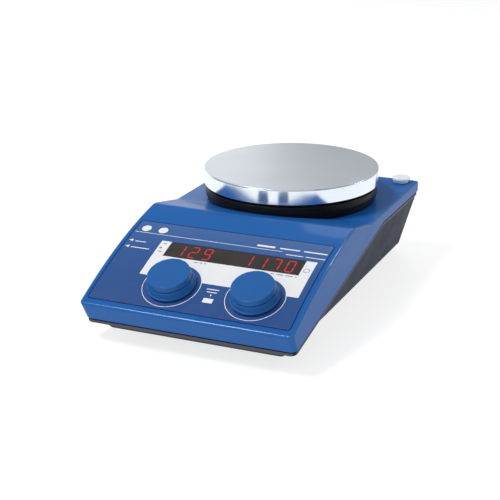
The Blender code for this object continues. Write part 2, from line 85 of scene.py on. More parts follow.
# ---- driving dimensions, mm, from the frame where it gives them ----
DEPTH = (cad_high.y - cad_low.y) / MM
HEIGHT = high("hotplate").z
WIDTH, WIDEST_Z = 160.0, 66.5        # before the corners are rounded, and the height of that width
DRAFT = math.tan(math.radians(1.5))
GAP = 0.3
WALL = 3.0
SEAM_GAP = 1.2
EDGE = 1.8                           # rounding of the top housing's long edges
CORNER = 4.0                         # rounding of its front corners
FRONT_TIP = -0.62

PANEL_Z, PANEL_RISE, PANEL_SAG = 29.0, 0.503, 0.001433   # the panel's crown
LIP_BACK, LIP_Z = 6.9, 15.2
RIDGE_BACK, RIDGE_R = 113.5, 14.0
DIP_BACK, DIP_R = 150.0, 26.0
DECK_Z = 60.0
KNEE_BACK, KNEE_Z, KNEE_SOFT = 179.4, 52.0, 3.0          # the knee of the seam, and half its length
KNEE_STATIONS = [KNEE_BACK + KNEE_SOFT * step / 4 for step in range(-4, 5)]
RIDGE_BOW = 3.0                      # the ridge runs forward by this in the middle
BOW_BACK, BOW_REACH = RIDGE_BACK + 14, 34.0              # where that bow is fullest, and how far it fades

PLATE = middle("hotplate")
PLATE_R = (high("hotplate").x - low("hotplate").x) / 2
PLATE_LOW = low("hotplate").z
DECK_HOLE_R, SKIRT_HOLE_R = 57.6, 58.6
SKIRT_TOP_R, SKIRT_LOW_R = 66.8, 65.0

FOIL_LOW, FOIL_HIGH = low("front_foil"), high("front_foil")
FOIL_HALF, FOIL_T, FOIL_CORNER = FOIL_HIGH.x, 0.5, 2.5
FOIL_FRONT, FOIL_REAR = FOIL_LOW.y + DEPTH / 2, FOIL_HIGH.y + DEPTH / 2
WINDOW_X, WINDOW_BACK = middle("display_window").x, 59.2
WINDOW_W, WINDOW_D, WINDOW_T = high("display_window").x - low("display_window").x, 16.0, 2.6
WINDOW_SUNK = 0.2                    # its face below the foil's
KNOB_BACK = 26.0
KNOB_R, KNOB_H = 15.0, 11.1
KNOB_SKIRT_R, KNOB_LIFT = 17.3, 0.8
KNOBS = {kind: middle(f"{kind}_knob").x for kind in ("temperature", "speed")}
RING_R, RING_W = 21.0, 0.45          # printed ring round each knob
INK_UNDER, INK_OVER = 0.03, 0.05     # ink below and above the foil's face
GREY_LIFT = 0.03                     # grey ink lies on the white
BORDER_W = 0.65

FLOOR_Z, FLOOR_T = low("bottom_housing").z, 2.5
TUB_HALF, TUB_FLARE = 65.2, 0.30
TUB_FRONT, TUB_RAKE = 18.5, 1.2
TUB_REAR = 268.5
TUB_WALL = 2.6
FLANGE_T = 2.2

ROCKER_BACK, ROCKER_Z = 72.0, 42.0
LIMIT_BACK, LIMIT_Z = 46.0, 36.0
FEET = [middle(f"rubber_foot_{k}") for k in range(1, 5)]
SCREWS = [middle(f"housing_screw_{k}") for k in range(1, 5)]
POST_TOPS = (60.5, 60.5, 58.0, 58.0)
POST_R, PILOT_R, ROD_HOLE_R = 4.5, 2.4, 5.2
INLET, SOCKET, ROD = middle("mains_inlet"), middle("sensor_socket"), middle("rod_hole_cap")
ROUND = 96                           # steps round a large lathe shape
CREASE = 32                          # degrees between faces that meet in a sharp edge


# ---- shape tools ----
def at(x, back, z):
    return Vector((x, back - DEPTH / 2, z))


def solid(name, bm, place=None):
    """Turns a mesh drawn in millimetres into an object in metres."""
    bmesh.ops.recalc_face_normals(bm, faces=bm.faces)
    mesh = bpy.data.meshes.new(name)
    if place:
        bmesh.ops.transform(bm, matrix=place, verts=bm.verts)
    bmesh.ops.scale(bm, vec=(MM, MM, MM), verts=bm.verts)
    bm.to_mesh(mesh)
    bm.free()
    obj = bpy.data.objects.new(name, mesh)
    bpy.context.scene.collection.objects.link(obj)
    return obj


def freeze(obj):
    """Replaces an object's mesh with what its modifiers make of it."""
    bpy.context.view_layer.update()
    seen = obj.evaluated_get(bpy.context.evaluated_depsgraph_get())
    mesh = bpy.data.meshes.new_from_object(seen)
    obj.modifiers.clear()
    obj.data = mesh


def combine(obj, others, operation="DIFFERENCE"):
    """Cuts the others out of obj, or joins them to it, and removes them."""
    for other in others:
        step = obj.modifiers.new("combine", "BOOLEAN")
        step.operation = operation
        step.solver = "EXACT"
        step.object = other
        freeze(obj)
        bpy.data.objects.remove(other)


def shade(obj):
    """Smooth faces with sharp creases, and normals that follow the larger faces."""
    obj.data.shade_smooth()
    obj.data.set_sharp_from_angle(angle=math.radians(CREASE))
    weigh = obj.modifiers.new("normals", "WEIGHTED_NORMAL")
    weigh.keep_sharp = True
    weigh.weight = 80


def join(bm, other):
    """Adds another mesh's faces to bm as a separate shell."""
    mesh = bpy.data.meshes.new("joined")
    other.to_mesh(mesh)
    other.free()
    bm.from_mesh(mesh)
    bpy.data.meshes.remove(mesh)
    return bm


def turned(profile, steps=ROUND, ring=False):
    """A lathe shape from (radius, height) points; ring closes the profile on itself."""
    bm = bmesh.new()
    verts = [bm.verts.new((r, 0, z)) for r, z in profile]
    pairs = list(zip(verts, verts[1:]))
    if ring:
        pairs.append((verts[-1], verts[0]))
    edges = [bm.edges.new(pair) for pair in pairs]
    bmesh.ops.spin(bm, geom=verts + edges, cent=(0, 0, 0), axis=(0, 0, 1), dvec=(0, 0, 0),
                   angle=2 * math.pi, steps=steps, use_merge=True, use_duplicate=False)
    bmesh.ops.remove_doubles(bm, verts=bm.verts, dist=1e-5)
    return bm


def rod(radius, bottom, top, steps=48):
    return turned([(0, bottom), (radius, bottom), (radius, top), (0, top)], steps)


def tube(inner, outer, bottom, top, steps=ROUND):
    return turned([(inner, bottom), (outer, bottom), (outer, top), (inner, top)], steps, ring=True)


def block(corner_a, corner_b, bevel=0.0, segments=3):
    a, b = Vector(corner_a), Vector(corner_b)
    bm = bmesh.new()
    bmesh.ops.create_cube(bm, size=1.0)
    bmesh.ops.scale(bm, vec=b - a, verts=bm.verts)
    bmesh.ops.translate(bm, vec=(a + b) / 2, verts=bm.verts)
    if bevel:
        bmesh.ops.bevel(bm, geom=bm.edges[:], offset=bevel, segments=segments, profile=0.5, affect="EDGES")
    return bm


def loft(loops, ring=False):
    """Skins a row of loops with equal point counts; ring joins the last to the first."""
    bm = bmesh.new()
    rows = [[bm.verts.new(point) for point in loop] for loop in loops]
    count = len(rows[0])
    pairs = list(zip(rows, rows[1:]))
    if ring:
        pairs.append((rows[-1], rows[0]))
    for a, b in pairs:
        for i in range(count):
            j = (i + 1) % count
            bm.faces.new((a[i], a[j], b[j], b[i]))
    if not ring:
        bm.faces.new(rows[0])
        bm.faces.new(rows[-1])
    return bm


def prism(outline, bottom, top):
    """A flat outline raised between two heights."""
    return loft([[Vector((x, y, bottom)) for x, y in outline], [Vector((x, y, top)) for x, y in outline]])


def fillet(before, corner, after, radius, steps=4):
    """Points of the arc that rounds a corner of a flat path."""
    before, corner, after = Vector(before), Vector(corner), Vector(after)
    u = (before - corner).normalized()
    v = (after - corner).normalized()
    half = u.angle(v) / 2
    centre = corner + (u + v).normalized() * (radius / math.sin(half))
    start = corner + u * (radius / math.tan(half)) - centre
    end = corner + v * (radius / math.tan(half)) - centre
    arc = [start.slerp(end, k / steps) for k in range(steps + 1)]
    return [tuple(centre + p.normalized() * radius) for p in arc]


def soften(profile, radius, steps=4, ring=False):
    """The profile with its corners rounded, by less where its sides are short."""
    points = [Vector(p) for p in profile]
    count = len(points)
    out = []
    for i, point in enumerate(points):
        if not ring and i in (0, count - 1):
            out.append(tuple(point))
            continue
        before, after = points[i - 1], points[(i + 1) % count]
        u, v = before - point, after - point
        bend = math.pi - u.angle(v)
        if bend < math.radians(8):
            out.append(tuple(point))
            continue
        room = 0.45 * min(u.length, v.length)
        fit = min(radius, room / math.tan(bend / 2))
        out += fillet(before, point, after, fit, steps)
    return out


def offset_path(path, distance):
    """The path moved to its right-hand side by a distance."""
    points = [Vector(p) for p in path]
    moved = []
    for i, point in enumerate(points):
        sides = []
        for a, b in ((i - 1, i), (i, i + 1)):
            if a >= 0 and b < len(points):
                run = (points[b] - points[a]).normalized()
                sides.append(Vector((run.y, -run.x)))
        side = sum(sides, Vector((0, 0))).normalized()
        moved.append(tuple(point + side * (distance / side.dot(sides[0]))))
    return moved


# ---- places that several pieces share ----
def half_width(z):
    return WIDTH / 2 - (WIDEST_Z - z) * DRAFT


def panel_z(back):
    return PANEL_Z + PANEL_RISE * back - PANEL_SAG * back * back


def panel_frame(x, back):
    """A frame on the panel: X across, Y up the slope, Z out of the panel."""
    tilt = math.atan(PANEL_RISE - 2 * PANEL_SAG * back)
    return Matrix.Translation(at(x, back, panel_z(back))) @ Matrix.Rotation(tilt, 4, "X")


def wall_frame(back, z):
    """A frame on the left wall: X to the front, Y up the wall, Z out of it."""
    lean = math.atan(DRAFT)
    up = Vector((-math.sin(lean), 0, math.cos(lean)))
    out = Vector((-math.cos(lean), 0, -math.sin(lean)))
    turn = Matrix((up.cross(out), up, out)).transposed().to_4x4()
    return Matrix.Translation(at(-half_width(z), back, z)) @ turn


def upright(place):
    return Matrix.Translation((place.x, place.y, 0))


def rearward(place):
    """Z points to the rear from the frame's middle plane, at that place's height."""
    return Matrix.Translation((place.x, 0, place.z)) @ Matrix.Rotation(math.radians(-90), 4, "X")


def seam_z(back):
    """Lower edge of the top housing: a straight rise, a soft knee, then level."""
    soft = KNEE_SOFT
    slope = (KNEE_Z - LIP_Z) / (KNEE_BACK - LIP_BACK)
    past = back - KNEE_BACK
    if past < -soft:
        return KNEE_Z + slope * past
    if past > soft:
        return KNEE_Z
    return KNEE_Z - slope * (soft - past) ** 2 / (4 * soft)


def crown_path(step=4, bends=10):
    """The top housing's outline from the lip's lower edge, over the top, to the rear wall's foot."""
    lip = (LIP_BACK, LIP_Z)
    ridge = (RIDGE_BACK, panel_z(RIDGE_BACK))
    dip = (DIP_BACK, DECK_Z)
    panel = [(back, panel_z(back)) for back in (FRONT_TIP, *range(step, 109, step))]
    over = fillet(panel[-1], ridge, dip, RIDGE_R, bends)
    foot = fillet(ridge, dip, (DEPTH, DECK_Z), DIP_R, bends)
    deck = [(back, DECK_Z) for back in (175, 200, 230, 255)]
    return [lip, *panel, *over, *foot, *deck, (DEPTH, DECK_Z), (DEPTH, KNEE_Z)]


def across(path, spread, lift=0.0, bow=RIDGE_BOW, cuts=24):
    """Copies of a side outline across the width; the ridge bows forward in the middle."""
    loops = []
    for step in range(cuts + 1):
        u = 2 * step / cuts - 1
        loop = []
        for back, z in path:
            near = max(0.0, 1 - abs(back - BOW_BACK) / BOW_REACH)
            swell = (1 - math.cos(near * math.pi)) / 2 if z > DECK_Z - 4 else 0.0
            loop.append(at(u * (half_width(z) + spread), back - bow * (1 - u * u) * swell, z + lift))
        loops.append(loop)
    return loops


# ---- materials ----
class Look:
    """One procedural material: plain values on the shader, and textures in object space."""

    def __init__(self, name, rgb, rough, metal=0.0, **sockets):
        self.material = bpy.data.materials.new(name)
        self.material.use_nodes = True
        self.nodes = self.material.node_tree.nodes
        self.links = self.material.node_tree.links
        self.shader = self.nodes["Principled BSDF"]
        self.shader.inputs["Base Color"].default_value = (*rgb, 1.0)
        self.shader.inputs["Roughness"].default_value = rough
        self.shader.inputs["Metallic"].default_value = metal
        for socket, value in sockets.items():
            self.shader.inputs[socket.replace("_", " ")].default_value = value
        self.space = self.nodes.new("ShaderNodeTexCoord")
        self.height = None

    def join(self, a, b):
        self.links.new(a, b)
        return self

    def place(self, stretch=(1, 1, 1), centre=(0, 0, 0), turn=(0, 0, 0)):
        """Object coordinates in metres, about a centre, stretched for a grain direction."""
        move = self.nodes.new("ShaderNodeMapping")
        move.vector_type = "TEXTURE"
        move.inputs["Location"].default_value = centre
        move.inputs["Rotation"].default_value = turn
        move.inputs["Scale"].default_value = [1 / s for s in stretch]
        self.links.new(self.space.outputs["Object"], move.inputs["Vector"])
        return move.outputs["Vector"]

    def noise(self, size, detail=3.0, stretch=(1, 1, 1), vector=None):
        """Noise whose features are about size millimetres across."""
        node = self.nodes.new("ShaderNodeTexNoise")
        node.inputs["Scale"].default_value = 1 / (size * MM)
        node.inputs["Detail"].default_value = detail
        self.links.new(vector or self.place(stretch), node.inputs["Vector"])
        return node.outputs["Fac"]

    def cells(self, size, stretch=(1, 1, 1), feature="F1"):
        node = self.nodes.new("ShaderNodeTexVoronoi")
        node.feature = feature
        node.inputs["Scale"].default_value = 1 / (size * MM)
        self.links.new(self.place(stretch), node.inputs["Vector"])
        return node.outputs["Distance"]

    def span(self, value, from_low, from_high, to_low, to_high):
        node = self.nodes.new("ShaderNodeMapRange")
        for socket, number in (("From Min", from_low), ("From Max", from_high),
                               ("To Min", to_low), ("To Max", to_high)):
            node.inputs[socket].default_value = number
        self.links.new(value, node.inputs["Value"])
        return node.outputs["Result"]

    def math(self, operation, a, b):
        node = self.nodes.new("ShaderNodeMath")
        node.operation = operation
        for socket, value in zip(node.inputs, (a, b)):
            if isinstance(value, (int, float)):
                socket.default_value = value
            else:
                self.links.new(value, socket)
        return node.outputs["Value"]

    def ramp(self, value, stops):
        """Colours along a value: (position, rgb) stops."""
        node = self.nodes.new("ShaderNodeValToRGB")
        elements = node.color_ramp.elements
        while len(elements) < len(stops):
            elements.new(0.5)
        for element, (position, rgb) in zip(elements, stops):
            element.position = position
            element.color = (*rgb, 1.0)
        self.links.new(value, node.inputs["Fac"])
        return node.outputs["Color"]

    def colour(self, source):
        return self.join(source, self.shader.inputs["Base Color"])

    def rough(self, source):
        return self.join(source, self.shader.inputs["Roughness"])

    def bump(self, source, strength, distance_mm):
        node = self.nodes.new("ShaderNodeBump")
        node.inputs["Strength"].default_value = strength
        node.inputs["Distance"].default_value = distance_mm * MM
        self.links.new(source, node.inputs["Height"])
        if self.height:
            self.links.new(self.height, node.inputs["Normal"])
        self.height = node.outputs["Normal"]
        return self.join(self.height, self.shader.inputs["Normal"])

    def part(self, axis):
        """One object coordinate, in millimetres."""
        node = self.nodes.new("ShaderNodeSeparateXYZ")
        self.links.new(self.space.outputs["Object"], node.inputs["Vector"])
        return self.math("DIVIDE", node.outputs[axis], MM)

    def mottle(self, dark, light, size, spread=(0.3, 0.7), detail=3.0, stretch=(1, 1, 1)):
        """Colour that drifts between two shades."""
        source = self.noise(size, detail, stretch)
        return self.colour(self.ramp(source, ((spread[0], dark), (spread[1], light))))

    def patchy(self, size, smooth_value, rough_value, stretch=(1, 1, 1)):
        source = self.noise(size, 4.0, stretch)
        return self.rough(self.span(source, 0.3, 0.7, smooth_value, rough_value))


def shades(rgb, spread):
    """A darker and a lighter version of a colour."""
    return tuple(c * (1 - spread) for c in rgb), tuple(min(1.0, c * (1 + spread)) for c in rgb)


def plain(name, rgb, rough, metal=0.0, spread=0.08, patch=6.0, grain=0.5, relief=0.02, **sockets):
    """A moulded, cast or painted finish: slight drift in colour and gloss, and a fine grain."""
    look = Look(name, rgb, rough, metal, **sockets)
    dark, light = shades(rgb, spread)
    look.mottle(dark, light, patch)
    look.patchy(patch * 0.6, rough * 0.88, rough * 1.12)
    look.bump(look.noise(grain, 2.0), 0.6, relief)
    return look


def blue_paint():
    look = plain("blue_paint", (0.013, 0.110, 0.375), 0.36, spread=0.025, patch=30.0, grain=1.4, relief=0.010,
                 IOR=1.12, Coat_Weight=0.2, Coat_Roughness=0.06)
    look.bump(look.noise(0.25, 2.0), 0.3, 0.004)
    return look.material


def painted_highlight_blue():
    """The housing's paint on its rounded edges: a touch glossier, and lighter as a painted highlight along them."""
    return plain("painted_highlight_blue", (0.016, 0.122, 0.39), 0.30, spread=0.03, patch=30.0, grain=1.4, relief=0.006,
                 IOR=1.2, Coat_Weight=0.6, Coat_Roughness=0.14).material


def knob_blue():
    return plain("knob_blue", (0.018, 0.112, 0.35), 0.40, spread=0.03, patch=9.0, grain=0.35, relief=0.008,
                 IOR=1.18, Coat_Weight=0.2, Coat_Roughness=0.15).material


def label_foil():
    """Printed polyester film: a shade lighter to the rear, with an embossed grain."""
    look = Look("label_foil", (0.02, 0.09, 0.28), 0.34, Specular_IOR_Level=0.4)
    rise = look.span(look.part("Y"), FOIL_LOW.y, FOIL_HIGH.y, 0.0, 1.0)
    drift = look.math("ADD", rise, look.span(look.noise(30.0), 0.0, 1.0, -0.05, 0.05))
    look.colour(look.ramp(drift, ((0.0, (0.014, 0.064, 0.235)), (0.55, (0.022, 0.085, 0.27)),
                                  (1.0, (0.040, 0.120, 0.33)))))
    look.patchy(5.0, 0.30, 0.37)
    look.bump(look.cells(0.35), 0.3, 0.005)
    return look.material


def print_white():
    return plain("print_white", (0.80, 0.81, 0.83), 0.38, spread=0.015, patch=12.0, grain=0.35, relief=0.004).material


def painted_gap_shade():
    # Dark blue: painted shade for the gap between the foil and its recess.
    return plain("painted_gap_shade", (0.006, 0.02, 0.11), 0.4, patch=10.0, grain=0.3, relief=0.004, IOR=1.2).material


def print_grey():
    return plain("print_grey", (0.22, 0.22, 0.24), 0.4, patch=10.0, grain=0.3, relief=0.004).material


def smoked_window():
    look = Look("smoked_window", (0.03, 0.025, 0.022), 0.16, Coat_Weight=0.25, Coat_Roughness=0.05)
    look.mottle((0.026, 0.022, 0.020), (0.040, 0.033, 0.029), 18.0)
    look.patchy(9.0, 0.12, 0.20)
    look.bump(look.noise(6.0, 1.0), 0.2, 0.01)
    return look.material


def red_digits():
    look = Look("red_digits", (0.35, 0.01, 0.015), 0.4)
    glow = look.ramp(look.noise(1.2, 1.0), ((0.3, (0.36, 0.008, 0.014)), (0.7, (0.46, 0.014, 0.022))))
    look.colour(glow)
    look.join(glow, look.shader.inputs["Emission Color"])
    look.shader.inputs["Emission Strength"].default_value = 0.7
    return look.material


def display_module():
    return plain("display_module", (0.06, 0.06, 0.065), 0.45, patch=4.0, grain=0.3, relief=0.01).material


def plate_top():
    """Fine-turned aluminium face: faint circles about the plate's axis."""
    look = Look("plate_top", (0.66, 0.70, 0.75), 0.34, 1.0)
    node = look.nodes.new("ShaderNodeTexWave")
    node.wave_type = "RINGS"
    node.rings_direction = "Z"
    node.inputs["Scale"].default_value = 1 / (4.2 * MM)
    node.inputs["Distortion"].default_value = 0.6
    node.inputs["Detail"].default_value = 2.0
    look.links.new(look.place(centre=(0, PLATE.y * MM, 0)), node.inputs["Vector"])
    rings = node.outputs["Fac"]
    look.mottle((0.65, 0.69, 0.74), (0.68, 0.72, 0.77), 40.0)
    look.rough(look.span(rings, 0.0, 1.0, 0.32, 0.37))
    look.bump(rings, 0.12, 0.006)
    look.bump(look.noise(0.3, 2.0), 0.3, 0.004)
    return look.material


def plate_side():
    # Polished aluminium; its blue tint is a painted reflection of the blue housing around it.
    look = Look("plate_side", (0.79, 0.86, 0.92), 0.13, 1.0)
    look.mottle((0.78, 0.85, 0.91), (0.80, 0.87, 0.93), 20.0)
    look.patchy(6.0, 0.12, 0.15)
    look.bump(look.noise(1.2, 2.0, stretch=(0.3, 0.3, 3)), 0.06, 0.003)
    return look.material


def dark_body():
    look = plain("dark_body", (0.034, 0.039, 0.062), 0.5, spread=0.03, patch=30.0, grain=0.8, relief=0.012,
                 IOR=1.1)
    look.bump(look.cells(0.9), 0.15, 0.008)
    return look.material


def flange_painted_highlight():
    """The lower housing's flange: the same plastic, lighter as a painted highlight along its edge."""
    return plain("flange_painted_highlight", (0.105, 0.11, 0.135), 0.4, spread=0.04, patch=12.0, grain=0.6, relief=0.008,
                 IOR=1.12).material


def skirt_black():
    return plain("skirt_black", (0.008, 0.008, 0.009), 0.36, spread=0.15, patch=6.0, grain=0.6, relief=0.02,
                 IOR=1.25).material


def black_plastic():
    return plain("black_plastic", (0.014, 0.014, 0.016), 0.38, spread=0.12, patch=5.0, grain=0.4,
                 relief=0.012).material


def rubber():
    return plain("rubber", (0.018, 0.018, 0.019), 0.72, spread=0.2, patch=3.0, grain=0.3, relief=0.03).material


def cap_plastic():
    return plain("cap_plastic", (0.80, 0.86, 0.92), 0.34, spread=0.02, patch=4.0, grain=0.4, relief=0.006,
                 Subsurface_Weight=0.15, Subsurface_Scale=0.002).material


def steel():
    return plain("steel", (0.52, 0.52, 0.54), 0.32, 1.0, spread=0.1, patch=4.0, grain=0.5, relief=0.008).material


def brass():
    return plain("brass", (0.72, 0.52, 0.22), 0.3, 1.0, spread=0.08, patch=3.0, grain=0.4, relief=0.006).material


def ceramic_fibre():
    look = plain("ceramic_fibre", (0.78, 0.76, 0.70), 0.92, spread=0.06, patch=5.0, grain=1.2, relief=0.12)
    look.bump(look.noise(0.5, 4.0, stretch=(1, 1, 6)), 0.6, 0.06)
    return look.material


def circuit_board():
    """Green solder mask with paler copper tracks under it."""
    look = Look("circuit_board", (0.02, 0.2, 0.08), 0.42)
    node = look.nodes.new("ShaderNodeTexBrick")
    node.inputs["Scale"].default_value = 1 / (14.0 * MM)
    node.inputs["Color1"].default_value = (0.012, 0.13, 0.045, 1)
    node.inputs["Color2"].default_value = (0.016, 0.16, 0.055, 1)
    node.inputs["Mortar"].default_value = (0.05, 0.27, 0.09, 1)
    node.inputs["Mortar Size"].default_value = 0.03
    look.links.new(look.place(), node.inputs["Vector"])
    look.colour(node.outputs["Color"])
    look.patchy(4.0, 0.36, 0.5)
    look.bump(node.outputs["Fac"], 0.4, 0.03)
    return look.material


def ribbon():
    """Flat cable: grey insulation with a groove between its conductors, and painted shade darkening each groove."""
    look = Look("ribbon", (0.5, 0.5, 0.5), 0.55)
    node = look.nodes.new("ShaderNodeTexWave")
    node.bands_direction = "X"
    node.inputs["Scale"].default_value = 0.314 / (1.27 * MM)
    look.links.new(look.place(), node.inputs["Vector"])
    look.colour(look.ramp(node.outputs["Fac"], ((0.1, (0.22, 0.22, 0.23)), (0.6, (0.5, 0.5, 0.49)))))
    look.patchy(3.0, 0.5, 0.62)
    look.bump(node.outputs["Fac"], 0.8, 0.2)
    return look.material


def magnet():
    return plain("magnet", (0.20, 0.20, 0.21), 0.34, 0.9, spread=0.1, patch=3.0, grain=0.3, relief=0.01).material


def winding():
    """Enamelled copper wire, laid in turns, with painted shade darkening the gaps between turns."""
    look = Look("winding", (0.55, 0.2, 0.07), 0.32, 0.85)
    node = look.nodes.new("ShaderNodeTexWave")
    node.bands_direction = "Z"
    node.inputs["Scale"].default_value = 0.314 / (0.7 * MM)
    node.inputs["Distortion"].default_value = 0.4
    look.links.new(look.place(), node.inputs["Vector"])
    look.colour(look.ramp(node.outputs["Fac"], ((0.1, (0.16, 0.045, 0.015)), (0.6, (0.62, 0.25, 0.09)))))
    look.patchy(3.0, 0.26, 0.4)
    look.bump(node.outputs["Fac"], 0.9, 0.2)
    return look.material


LOOKS = {make.__name__: make() for make in (
    blue_paint, painted_highlight_blue, knob_blue, label_foil, print_white, painted_gap_shade, print_grey, smoked_window, red_digits,
    display_module, plate_top, plate_side, dark_body, flange_painted_highlight, skirt_black, black_plastic, rubber, cap_plastic,
    steel, brass, ceramic_fibre, circuit_board, ribbon, magnet, winding)}


def finish_piece(obj, body, look, slot, *nodes):
    """Shades a piece, gives it its material, and ties it to the frame."""
    obj.data.materials.clear()
    obj.data.materials.append(LOOKS[look])
    shade(obj)
    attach(obj, body)
    if nodes:
        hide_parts(*nodes)
    return obj


def second_look(obj, look, wanted):
    """Gives another material to the faces that wanted(x, back, z, normal) picks, in millimetres."""
    obj.data.materials.append(LOOKS[look])
    for face in obj.data.polygons:
        x, y, z = face.center / MM
        if wanted(abs(x), y + DEPTH / 2, z, face.normal):
            face.material_index = 1


def stand_in(node, bm_or_obj, look, slot, place=None):
    """A finer piece for one CAD node, on that node's own body."""
    obj = bm_or_obj
    if not isinstance(obj, bpy.types.Object):
        obj = solid(f"{node}_finished", bm_or_obj, place)
    obj.name = f"{node}_finished"
    return finish_piece(obj, BODY_OF[node], look, slot, node)


# ---- housings ----
def top_housing():
    seam = [(back, seam_z(back)) for back in (230, 200, *reversed(KNEE_STATIONS), 120, 60)]
    bm = loft(across(crown_path() + seam, 0.0))
    weight = bm.edges.layers.float.new("bevel_weight_edge")
    for edge in bm.edges:
        a, b = (v.co for v in edge.verts)
        back_a, back_b = a.y + DEPTH / 2, b.y + DEPTH / 2
        on_side = abs(abs(a.x) - half_width(a.z)) < 0.01 and abs(abs(b.x) - half_width(b.z)) < 0.01
        along = abs(a.x - b.x) < 2.0
        on_seam = abs(a.z - seam_z(back_a)) < 0.01 and abs(b.z - seam_z(back_b)) < 0.01
        if on_side and along and not on_seam:
            lip = min(back_a, back_b) < 0.1 and abs(max(back_a, back_b) - LIP_BACK) < 0.1
            rear = min(back_a, back_b) > DEPTH - 0.1
            edge[weight] = 1.0 if lip else 0.7 if rear else EDGE / CORNER
        elif not along:
            front_top = max(back_a, back_b) < 0.1
            rear_top = min(back_a, back_b) > DEPTH - 0.1 and min(a.z, b.z) > DECK_Z - 0.1
            if front_top or rear_top:
                edge[weight] = EDGE / CORNER
    obj = solid("top_housing", bm)
    bevel = obj.modifiers.new("edges", "BEVEL")
    bevel.limit_method = "WEIGHT"
    bevel.width = CORNER * MM
    bevel.segments = 6
    freeze(obj)
    inner = offset_path(crown_path(12, 4), WALL)
    down = (Vector(inner[0]) - Vector(inner[1])).normalized()
    inner = [tuple(Vector(inner[0]) + down * 6), *inner, (DEPTH - WALL, 22.0)]
    combine(obj, [solid("cavity", loft(across(inner, -WALL, bow=0.0, cuts=1)))])
    posts = [solid("post", rod(POST_R, 16, top, 24), upright(place)) for place, top in zip(SCREWS, POST_TOPS)]
    combine(obj, posts, "UNION")
    cutters = [solid("pilot", rod(PILOT_R, 10, 34, 16), upright(place)) for place in SCREWS]
    cutters.append(solid("deck_hole", rod(DECK_HOLE_R, 50, 80, ROUND), upright(PLATE)))
    cutters.append(solid("rod_hole", rod(ROD_HOLE_R, 50, 70), upright(ROD)))
    cutters.append(solid("foil_recess", foil_shape(0.12, 4.0, -FOIL_T - GAP)))
    cutters.append(solid("window_hole", window_box(GAP, -9, 6), window_frame()))
    cutters += [solid("knob_hole", rod(4.9, -9, 6), panel_frame(x, KNOB_BACK)) for x in KNOBS.values()]
    rocker = wall_frame(ROCKER_BACK, ROCKER_Z)
    cutters.append(solid("rocker_hole", block((-10.55, -6.6, -6), (10.55, 6.6, 4)), rocker))
    cutters.append(solid("rocker_seat", block((-12.05, -8.05, -0.9), (12.05, 8.05, 4)), rocker))
    cutters.append(solid("limit_hole", rod(3.6, -6, 4), wall_frame(LIMIT_BACK, LIMIT_Z)))
    combine(obj, cutters)
    stand_in("top_housing", obj, "blue_paint", "blue_paint")

    def rounded(x, back, z, normal):
        at_edge = back < EDGE or x > half_width(z) - EDGE
        return at_edge and 0.25 < normal.z < 0.93 and z > seam_z(back)

    # The rounded edges take the lighter paint, a painted highlight along them.
    second_look(obj, "painted_highlight_blue", rounded)


def tub_half(z):
    return TUB_HALF + (z - FLOOR_Z) * TUB_FLARE


def tub_loop(half, front, rear, corner, height):
    """A closed loop round the housing: a rounded rectangle whose width and height vary along it."""
    arc = [math.radians(7.5 * k) for k in range(13)]
    plan = [(corner * (1 - math.sin(a)), front + corner * (1 - math.cos(a))) for a in arc]
    plan += [(0.0, back) for back in (60, 120, *KNEE_STATIONS, 230)]
    plan += [(corner * (1 - math.cos(a)), rear - corner * (1 - math.sin(a))) for a in arc]
    right = []
    for inset, back in plan:
        z = height(back)
        right.append(at(half(z) - inset, back, z))
    left = [Vector((-p.x, p.y, p.z)) for p in reversed(right)]
    return right + left


def bottom_housing():
    def rake(z):
        return TUB_FRONT - (z - FLOOR_Z) * TUB_RAKE

    inside = FLOOR_Z + FLOOR_T
    under = SEAM_GAP + FLANGE_T
    loops = [tub_loop(lambda z: TUB_HALF - 1.2, rake(FLOOR_Z) + 1.4, TUB_REAR - 1.2, 2.5, lambda back: FLOOR_Z)]
    loops.append(tub_loop(lambda z: TUB_HALF - 0.45, rake(FLOOR_Z) + 0.5, TUB_REAR - 0.45, 2.8,
                          lambda back: FLOOR_Z + 0.35))
    loops.append(tub_loop(tub_half, rake(FLOOR_Z + 1.2), TUB_REAR, 3, lambda back: FLOOR_Z + 1.2))
    loops.append(tub_loop(tub_half, rake(12.0), TUB_REAR, 3, lambda back: seam_z(back) - under))
    rim = [(-1.0, 8.0, 269.2, 0.0), (-0.55, 7.55, 269.6, 0.2), (-0.4, 7.4, 269.7, 0.6),
           (-0.4, 7.4, 269.7, under - SEAM_GAP - 0.4), (-0.5, 7.5, 269.6, under - SEAM_GAP - 0.12),
           (-0.8, 7.8, 269.3, under - SEAM_GAP)]
    for inset, front, rear, rise in rim:
        loops.append(tub_loop(lambda z, inset=inset: half_width(z) + inset, front, rear, 4.5,
                              lambda back, rise=rise: seam_z(back) - under + rise))
    loops.append(tub_loop(lambda z: tub_half(z) - TUB_WALL, rake(14.0) + 3.2, TUB_REAR - TUB_WALL, 2,
                          lambda back: seam_z(back) - SEAM_GAP))
    loops.append(tub_loop(lambda z: tub_half(z) - TUB_WALL, rake(inside) + 3.2, TUB_REAR - TUB_WALL, 2,
                          lambda back: inside))
    obj = solid("bottom_housing", loft(loops))
    holes = [solid("foot_hole", rod(3.3, 2, 10, 32), upright(place)) for place in FEET]
    sunk = [(0, 2), (4.5, 2), (4.5, 6.6), (2.6, 6.6), (2.6, 10), (0, 10)]
    holes += [solid("screw_hole", turned(sunk, 32), upright(place)) for place in SCREWS]
    holes.append(solid("inlet_hole", block((INLET.x - 23.4, 127, INLET.z - 10.9),
                                           (INLET.x + 23.4, 139, INLET.z + 10.9))))
    holes.append(solid("socket_hole", rod(7.8, 127, 139), rearward(SOCKET)))
    combine(obj, holes)
    stand_in("bottom_housing", obj, "dark_body", "dark_body")

    def on_flange(x, back, z, normal):
        outside = x > half_width(z) - 0.9 or back < 8.1 or back > 269.1
        return outside and 0.1 < z - seam_z(back) + under < FLANGE_T + 0.1

    # The flange takes the lighter plastic, a painted highlight along its edge.
    second_look(obj, "flange_painted_highlight", on_flange)


